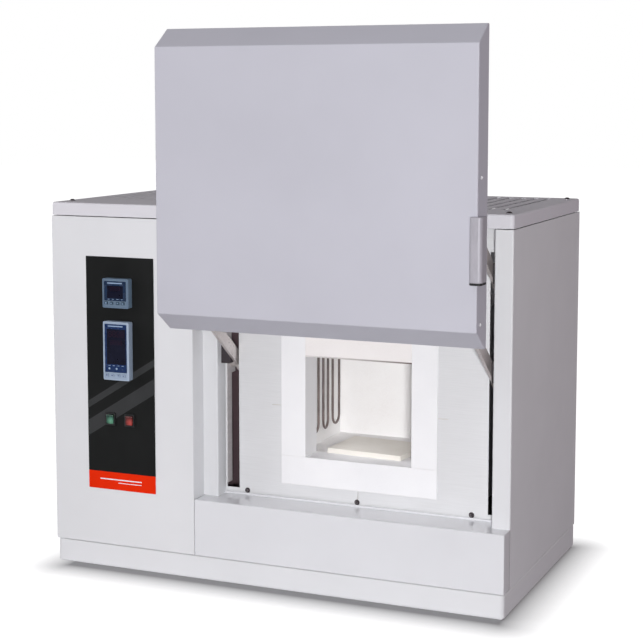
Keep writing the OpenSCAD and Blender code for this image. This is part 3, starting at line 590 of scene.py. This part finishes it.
def make_overlay():
    """Printed film: black above, a red band below, and a plain pattern of stripes and rules."""
    lo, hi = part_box("overlay_panel")
    band_top = lo.z + RED_BAND
    black = rounded(rectangle((lo.x, band_top), (hi.x, hi.z)), 0.8 * MM)
    film = prism("overlay_film_black", "Y", black, lo.y, hi.y, FILM_BLACK, CABINET,
                 0.2 * MM, 2)
    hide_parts("overlay_panel")
    red = rounded(rectangle((lo.x, lo.z), (hi.x, band_top)), 0.8 * MM)
    prism("overlay_film_red", "Y", red, lo.y, hi.y, FILM_RED, CABINET, 0.2 * MM, 2)
    for name, (above, width) in STRIPES.items():
        low = band_top + above
        outline = clip_band((lo.x, band_top), (hi.x, hi.z), low, low + width, STRIPE_SLOPE)
        prism(f"overlay_band_{name}", "Y", outline, lo.y - INK, lo.y, FILM_GREY, CABINET)
    middle = (lo.z + band_top) / 2
    for name, (start, rise, width) in RULES.items():
        outline = rounded(rectangle((lo.x + start, middle + rise), (lo.x + RULE_END, middle + rise + width)),
                          0.4 * MM, steps=3)
        prism(f"overlay_rule_{name}", "Y", outline, lo.y - INK, lo.y, PRINT_WHITE, CABINET)


def make_rim(unit, look):
    """Raised rim round an instrument's window and keys."""
    lo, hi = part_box(f"{unit}_case")
    left, right, top, rise = 2.4 * MM, 3.84 * MM, 1.92 * MM, 0.9 * MM
    outer = rounded(rectangle((lo.x, lo.z), (hi.x, hi.z)), 2.5 * MM)
    inner = rounded(rectangle((lo.x + left, lo.z + left), (hi.x - right, hi.z - top)), 1.2 * MM)
    bm = bmesh.new()
    outer_rings, inner_rings = [add_strip(bm, "Y", points, lo.y - rise, lo.y, closed=True)
                                for points in (outer, inner)]
    for around, within in zip(outer_rings, inner_rings):
        for i in range(len(around)):
            j = (i + 1) % len(around)
            bm.faces.new((around[i], around[j], within[j], within[i]))
    build(f"{unit}_rim", bm, look["rim"], CABINET, 0.45 * MM)


def seven_segment(name, x, z, width, height, y):
    """One unlit seven-segment figure: all its bars, as one piece."""
    bar = width * 0.16
    bm = bmesh.new()
    spots = [(x, z + level * height / 2, width * 0.62, bar) for level in (-1, 0, 1)]
    spots += [(x + side * width / 2, z + level * height / 4, bar, height * 0.36)
              for side in (-1, 1) for level in (-1, 1)]
    for cx, cz, w, h in spots:
        outline = rounded(rectangle((cx - w / 2, cz - h / 2), (cx + w / 2, cz + h / 2)), bar * 0.35, steps=2)
        rings = add_strip(bm, "Y", outline, y - 0.05 * MM, y, closed=True)
        for ring in rings:
            bm.faces.new(ring)
    build(name, bm, SEGMENT_OFF, CABINET)


def make_icon(name, kind, x, z, size, y, body, material):
    """A plain printed mark on a key: a triangle up or down, a bar or a disc."""
    shapes = {
        "up": [(-1, -0.7), (1, -0.7), (0, 0.9)],
        "down": [(-1, 0.7), (0, -0.9), (1, 0.7)],
        "bar": [(-1, -0.45), (1, -0.45), (1, 0.45), (-1, 0.45)],
        "disc": circle((0.0, 0.0), 1.0, 16),
    }
    outline = [(x + size * u, z + size * v) for u, v in shapes[kind]]
    prism(name, "Y", outline, y - 0.06 * MM, y, material, body)


FASCIA_RISE = 0.35 * MM
GLASS_RISE = 0.5 * MM
INSTRUMENTS = {
    "limiter": {
        "rim": LIMITER_RIM, "fascia": LIMITER_FASCIA, "key_mark": PRINT_BLUE, "legend_height": 1.0 * MM,
        "glass_inset": ((5.0 * MM, 3.0 * MM), (5.0 * MM, 6.5 * MM)),
        "figures": ((4.5 * MM, 3.2 * MM, 5.5 * MM),),  # rows: drop from the glass's top, width and height
    },
    "controller": {
        "rim": CONTROLLER_RIM, "fascia": CONTROLLER_FASCIA, "key_mark": PRINT_NAVY, "legend_height": 9.6 * MM,
        "glass_inset": ((3.0 * MM, 12.0 * MM), (1.0 * MM, 7.0 * MM)),
        "figures": ((8.0 * MM, 5.0 * MM, 9.0 * MM), (22.0 * MM, 4.0 * MM, 7.0 * MM)),
    },
}


def make_fascia(unit, look):
    """Coloured plate round the display, with a plain printed bar at its top and dashes at its foot."""
    front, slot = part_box(f"{unit}_case")[0].y, f"{unit}_plastic"
    lo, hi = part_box(f"{unit}_window")
    plate_lo, plate_hi = (lo.x - 0.6 * MM, lo.z - 1.2 * MM), (hi.x + 0.6 * MM, hi.z + 1.0 * MM)
    plate = rounded(rectangle(plate_lo, plate_hi), 1.0 * MM)
    face = front - FASCIA_RISE
    prism(f"{unit}_fascia", "Y", plate, face, front, look["fascia"], CABINET, 0.15 * MM, 2)
    header_lo, header_hi = (lo.x + 5.5 * MM, hi.z - 3.2 * MM), (hi.x - 6.5 * MM, hi.z - 1.4 * MM)
    header = rounded(rectangle(header_lo, header_hi), 0.5 * MM, steps=3)
    prism(f"{unit}_header", "Y", header, face - INK, face, PRINT_BLUE, CABINET)
    dash_half, dash_height = 1.9 * MM, 0.8 * MM
    for i, share in enumerate((0.2, 0.4, 0.62, 0.82)):
        x = lo.x + share * (hi.x - lo.x)
        z = lo.z + look["legend_height"]
        dash = rounded(rectangle((x - dash_half, z), (x + dash_half, z + dash_height)), 0.3 * MM, steps=2)
        prism(f"{unit}_legend_{i + 1}", "Y", dash, face - INK, face, PRINT_BLUE, CABINET)


def make_display(unit, look):
    """Dark window with rows of four unlit figures."""
    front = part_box(f"{unit}_case")[0].y
    lo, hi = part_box(f"{unit}_window")
    (left, below), (right, above) = look["glass_inset"]
    glass_lo, glass_hi = (lo.x + left, lo.z + below), (hi.x - right, hi.z - above)
    glass_y = front - GLASS_RISE
    prism(f"{unit}_display", "Y", rounded(rectangle(glass_lo, glass_hi), 0.6 * MM), glass_y, front - 0.3 * MM,
          DISPLAY, CABINET, 0.12 * MM, 2)
    middle = (glass_lo[0] + glass_hi[0]) / 2
    for row, (drop, width, height) in enumerate(look["figures"]):
        for i in range(4):
            x = middle + (i - 1.5) * width * 1.5
            seven_segment(f"{unit}_figure_{row}_{i}", x, glass_hi[1] - drop, width, height, glass_y)


def make_key_marks(unit, look):
    """One plain mark on each of the four keys."""
    for i, kind in enumerate(("disc", "bar", "down", "up")):
        key = f"{unit}_key_{i + 1}"
        lo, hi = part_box(key)
        make_icon(f"{unit}_mark_{i + 1}", kind, (lo.x + hi.x) / 2, (lo.z + hi.z) / 2, 1.3 * MM, lo.y, key,
                  look["key_mark"])


def make_controller_extras():
    """Two round indicator windows, and a flat darker patch of painted shade for the finger notch on the
    controller's side.
    """
    lo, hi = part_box("controller_case")
    window_lo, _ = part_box("controller_window")
    for i, x in enumerate((11.0 * MM, 24.6 * MM)):
        outline = circle((lo.x + x, window_lo.z + 5.0 * MM), 1.7 * MM)
        prism(f"controller_indicator_{i + 1}", "Y", outline, lo.y - 0.55 * MM, lo.y - 0.3 * MM, PRINT_BLUE,
              CABINET, 0.1 * MM, 2)
    # Painted shade: the notch is drawn as a flat, darker patch, not as a hollow.
    notch = arc((hi.y - 1.0 * MM, lo.z + 45.0 * MM), (7.65 * MM, 9.0 * MM), math.pi / 2, math.pi, 14)
    prism("controller_notch", "X", notch, hi.x - 0.05 * MM, hi.x + 0.1 * MM, NOTCH_SHADE, CABINET)


def make_push_button(colour, lens, glow):
    """Domed, ribbed lens cap over the push button's square plunger, with a painted highlight low on its right.
    """
    node = f"{colour}_button"
    lo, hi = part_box(node)
    dome = 1.2 * MM
    outline = rounded(rectangle((lo.x, lo.z), (hi.x, hi.z)), 1.6 * MM)
    # Spot where the lens's painted highlight is lightest.
    painted_highlight_spot = (hi.x - 3.5 * MM, lo.y, lo.z + 4.5 * MM)
    material = push_lens(f"{colour}_lens_material", lens, glow, painted_highlight_spot)
    bm = bmesh.new()
    front, back = add_strip(bm, "Y", outline, lo.y + dome, hi.y, closed=True)
    bm.faces.new(back)
    middle = Vector(((lo.x + hi.x) / 2, 0, (lo.z + hi.z) / 2))
    previous = front
    for width, rise in ((0.93, 0.55 * MM), (0.80, 0.95 * MM), (0.55, 1.15 * MM), (0.25, dome)):
        ring = []
        for vert in front:
            flat = Vector((vert.co.x, 0, vert.co.z)) - middle
            ring.append(bm.verts.new((middle.x + flat.x * width, lo.y + dome - rise,
                                      middle.z + flat.z * width)))
        for i in range(len(ring)):
            j = (i + 1) % len(ring)
            bm.faces.new((previous[i], previous[j], ring[j], ring[i]))
        previous = ring
    bm.faces.new(previous)
    cap = build(f"{colour}_lens_cap", bm, material, node)
    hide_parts(node)


# --- door --------------------------------------------------------------------------------------


def make_door_shell():
    """The door's skin, folded along four bends, with side cheeks and an open back."""
    lo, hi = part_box("door_shell")
    slant_height, slant_depth = 28.0 * MM, 39.0 * MM
    line = rounded([(hi.y, lo.z), (lo.y + slant_depth, lo.z), (lo.y, lo.z + slant_height),
                    (lo.y, hi.z - slant_height), (lo.y + slant_depth, hi.z), (hi.y, hi.z)],
                   3.0 * MM, closed=False)
    bm = bmesh.new()
    for ring in add_strip(bm, "X", line, lo.x, hi.x, closed=False):
        bm.faces.new(ring)
    shell = build("door_shell_folded", bm, DOOR_PAINT, DOOR, 1.6 * MM, SHEET, bevel_angle=60)
    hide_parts("door_shell")


def make_grip():
    """Grip bar that wraps the door's edge, with a dark plug in its lower end."""
    lo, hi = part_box("door_grip")
    door_lo, door_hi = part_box("door_shell")
    corners = [Vector(p) for p in ((lo.x, lo.y), (hi.x, lo.y), (hi.x, hi.y), (door_hi.x, hi.y),
                                   (door_hi.x, door_lo.y), (lo.x, door_lo.y))]
    radii = (5.0 * MM, 6.0 * MM, 4.0 * MM, 0.0, 0.0, 1.5 * MM)
    outline = []
    for i, (corner, radius) in enumerate(zip(corners, radii)):
        outline += arc_corner(corners[i - 1], corner, corners[(i + 1) % len(corners)], radius, 6)
    plug_top = lo.z + 3.0 * MM
    grip = prism("door_grip_bar", "Z", outline, plug_top, hi.z, GRIP_METAL, DOOR,
                 1.5 * MM, 4, bevel_angle=60)
    prism("door_grip_plug", "Z", outline, lo.z, plug_top, BLACK_PLASTIC, DOOR,
          0.8 * MM, 3, bevel_angle=60)
    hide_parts("door_grip")


# --- carried-over nodes ------------------------------------------------------------------------

# Material of each CAD node that stays, with the width of its broken edges in millimetres.
NODE_LOOKS = {
    PAINT: (0.5, ["side_panel_left", "rear_panel"]),
    STAINLESS: (0.3, ["front_plate", "door_back_plate"]),
    DARK_SHEET: (0.4, ["partition_wall"]),
    GALVANISED: (0.4, ["furnace_casing", "support_frame"]),
    RAIL_ZINC: (0.4, ["pivot_rails"]),
    PLATED: (0.6, ["arm_lower_left", "arm_lower_right", "arm_upper_left", "arm_upper_right",
                   "door_brackets", "door_pins", "pivot_pins"]),
    BLACK_OXIDE: (0.0, ["lid_screws", "front_plate_bolts"]),
    ALUMINIUM: (0.3, ["terminal_straps"]),
    HEAT_SINK: (0.3, ["power_controller"]),
    BOARD: (1.0, ["collar_sides", "collar_bottom", "door_insulation"]),
    LINTEL_BOARD: (1.0, ["collar_lintel"]),
    HOT_BOARD: (0.8, ["chamber_floor", "chamber_walls", "chamber_roof"]),
    BACKING: (0.6, ["backing_boards"]),
    ELEMENT: (0.0, ["heating_elements"]),
    CREAM: (0.8, ["element_holders", "thermocouple"]),
    SETTER: (0.7, ["setter_plate"]),
    LIMITER: (0.3, ["limiter_case"]),
    CONTROLLER: (0.3, ["controller_case"]),
    DISPLAY: (0.2, ["limiter_window", "controller_window"]),
    LIMITER_KEY: (0.5, [f"limiter_key_{i}" for i in (1, 2, 3, 4)]),
    CONTROLLER_KEY: (0.5, [f"controller_key_{i}" for i in (1, 2, 3, 4)]),
    BLACK_PLASTIC: (0.6, ["button_frames", "cable_gland"]),
    GUIDE_PLASTIC: (0.8, ["arm_guides"]),
    DEVICE_PLASTIC: (0.6, ["contactor"]),
    TRANSFORMER: (0.8, ["transformer"]),
    WHITE_CAP: (0.0, ["door_rivets"]),
}


def dress_nodes():
    """Gives every node that stays its material and slightly broken edges."""
    for material, (edge, names) in NODE_LOOKS.items():
        for name in names:
            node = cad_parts[name]
            node.data.materials.clear()
            node.data.materials.append(material)
            if edge:
                add_bevel(node, edge * MM, 2, 40)


# --- stage, light and camera -------------------------------------------------------------------


FLOOR_LO, FLOOR_HI, FLOOR_THICK = (-9.0, -9.0), (9.0, 14.0), 0.02
SHADOW_REACH = 75.0 * MM  # how far from its dark core the shadow round the base ends
SHADOW_SHIFT = Vector((15.0 * MM, -18.0 * MM, 0.0))  # of the core from the base's middle
SHADOW_INSET = Vector((17.0 * MM, 0.0, 0.0))  # of the core's sides from the base's
FLOOR_GLOW = (0.08, 1.0)  # in the core, and where the shadow ends
DOME_ALL_ROUND = 0.08
DOME_TINT = (1.0, 0.95, 0.985, 1.0)
DOME_LOBES = (((-0.33, -0.80, 0.50), 0.42), ((0.0, 1.0, 0.0), 0.4))  # direction, strength


def floor_glow(n):
    """Glow of the floor, which paints a shadow round the base: weak over the shadow's core, which lies under
    the base, and full where it ends.
    """
    lo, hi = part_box("base_tray")
    folded = n.vector("ABSOLUTE", n.vector("SUBTRACT", n.place, (lo + hi) / 2 + SHADOW_SHIFT))
    beyond = n.vector("MAXIMUM", n.vector("SUBTRACT", folded, (hi - lo) / 2 - SHADOW_INSET))
    away = n.vector("LENGTH", n.vector("MULTIPLY", beyond, (1, 1, 0)))
    rise = n.math("POWER", n.remap(away, 0.0, SHADOW_REACH, 0.0, 1.0), 0.65)
    return n.remap(rise, 0.0, 1.0, *FLOOR_GLOW)


def make_floor():
    """Pale floor. It glows for the camera only, so that it reads white and still lights nothing. Near the base
    the camera sees a darker colour and less glow: a real shadow from the lamps, deepened by a painted shadow.
    """
    bm = bmesh.new()
    outline = rounded(rectangle(FLOOR_LO, FLOOR_HI), 1.0)
    for ring in add_strip(bm, "Z", outline, -FLOOR_THICK, 0.0, closed=True):
        bm.faces.new(ring)
    mesh = bpy.data.meshes.new("floor")
    bm.to_mesh(mesh)
    bm.free()
    n = Nodes("floor_pale")
    seen = n.add("ShaderNodeLightPath").outputs["Is Camera Ray"]
    shade = n.mix(n.remap(n.noise(0.8, 2.0), 0.3, 0.7, 0.0, 1.0), srgb(240, 240, 241), srgb(244, 244, 245))
    # The camera sees a darker colour, so the lamps' real shadows show; the fading glow paints the rest of the
    # shadow.
    colour = n.mix(seen, shade, srgb(150, 150, 153))
    n.put(n.math("MULTIPLY", seen, floor_glow(n)), n.shader.inputs["Emission Strength"])
    mesh.materials.append(n.finish(colour, 0.9, Emission_Color=WHITE, Specular_IOR_Level=0.0))
    floor = bpy.data.objects.new("floor", mesh)
    bpy.context.scene.collection.objects.link(floor)
    return floor


def make_light(name, place, target, size, power, colour=WHITE):
    """Square lamp at a place, turned to a target."""
    data = bpy.data.lights.new(name, "AREA")
    data.shape, data.size, data.energy, data.color = "SQUARE", size, power, colour[:3]
    lamp = bpy.data.objects.new(name, data)
    lamp.visible_camera = False
    lamp.location = place
    lamp.rotation_euler = (Vector(target) - Vector(place)).to_track_quat("-Z", "Y").to_euler()
    bpy.context.scene.collection.objects.link(lamp)
    return lamp


def leave_out(lamp, unlit):
    """Keeps a lamp's light off one object."""
    group = bpy.data.collections.new(f"{lamp.name}_leaves_out")
    group.objects.link(unlit)
    lamp.light_linking.receiver_collection = group
    group.collection_objects[0].light_linking.link_state = "EXCLUDE"


def make_lights(floor):
    """Key from the front, fill from the left, light from behind, a warm wall at the right, chamber lamp."""
    middle = (0.0, 0.0, 0.3)
    key = make_light("key", (1.64, -3.7, 0.9), (0.0, 0.0, 0.35), size=0.26, power=94.5)
    make_light("side", (-3.0, -1.4, 1.6), middle, size=1.4, power=30.0)
    back = make_light("back", (-0.7, 3.6, 0.28), middle, size=0.55, power=62.0)
    for lamp in (key, back):
        leave_out(lamp, floor)
    make_light("warm", (3.0, 0.3, 0.9), (0.39, 0.0, 0.3), size=1.0, power=3.0, colour=(1.0, 0.5, 0.66))
    tile_lo, tile_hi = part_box("setter_plate")
    place = (tile_lo.x + 25 * MM, tile_lo.y - 15 * MM, tile_hi.z + 80 * MM)
    target = (tile_hi.x + 15 * MM, tile_hi.y + 10 * MM, tile_hi.z + 20 * MM)
    make_light("chamber", place, target, size=0.04, power=0.04)


def make_world():
    """A soft, faintly tinted dome: bright in front and behind, faint all round, and white to the camera."""
    world = bpy.data.worlds.new("studio")
    world.use_nodes = True
    tree = world.node_tree
    background = tree.nodes["Background"]

    def math_node(operation, first, second):
        node = tree.nodes.new("ShaderNodeMath")
        node.operation = operation
        for socket, value in zip(node.inputs, (first, second)):
            if isinstance(value, bpy.types.NodeSocket):
                tree.links.new(value, socket)
            else:
                socket.default_value = value
        return node.outputs["Value"]

    split = tree.nodes.new("ShaderNodeSeparateXYZ")
    tree.links.new(tree.nodes.new("ShaderNodeTexCoord").outputs["Generated"], split.inputs["Vector"])
    light = DOME_ALL_ROUND
    for direction, strength in DOME_LOBES:
        toward = 0.0
        for axis, share in zip("XYZ", direction):
            toward = math_node("ADD", math_node("MULTIPLY", split.outputs[axis], share), toward)
        lobe = math_node("POWER", math_node("MAXIMUM", toward, 0.0), 2.0)
        light = math_node("ADD", light, math_node("MULTIPLY", lobe, strength))
    seen = tree.nodes.new("ShaderNodeLightPath").outputs["Is Camera Ray"]
    tree.links.new(math_node("MAXIMUM", seen, light), background.inputs["Strength"])
    colour = tree.nodes.new("ShaderNodeMix")
    colour.data_type = "RGBA"
    tree.links.new(seen, colour.inputs["Factor"])
    colour.inputs["A"].default_value = DOME_TINT
    colour.inputs["B"].default_value = WHITE
    tree.links.new(colour.outputs["Result"], background.inputs["Color"])
    bpy.context.scene.world = world


def make_camera():
    """Long lens from the front right, a little above the lid."""
    data = bpy.data.cameras.new("camera")
    data.sensor_fit, data.sensor_width = "HORIZONTAL", 36.0
    data.lens = 86.9
    data.shift_y = -0.10
    camera = bpy.data.objects.new("camera", data)
    tilt, turn = -6.0, 23.25
    camera.location = (1.0277, -2.3850, 0.7809)
    camera.rotation_euler = (math.radians(90 + tilt), 0.0, math.radians(turn))
    bpy.context.scene.collection.objects.link(camera)
    bpy.context.scene.camera = camera


make_camera()
make_world()
make_lights(make_floor())
bpy.context.scene.view_settings.view_transform = "Standard"

dress_nodes()
make_base_tray()
make_column_front()
make_right_panel()
make_recess_cheek()
make_sill()
make_sill_flange()
make_lid()
make_overlay()
for unit, look in INSTRUMENTS.items():
    make_rim(unit, look)
    make_fascia(unit, look)
    make_display(unit, look)
    make_key_marks(unit, look)
make_controller_extras()
# Lens colour, and the lighter colour of its painted highlight.
make_push_button("green", srgb(24, 66, 54), srgb(96, 156, 128))
make_push_button("red", srgb(84, 20, 20), srgb(176, 66, 60))
make_door_shell()
make_grip()
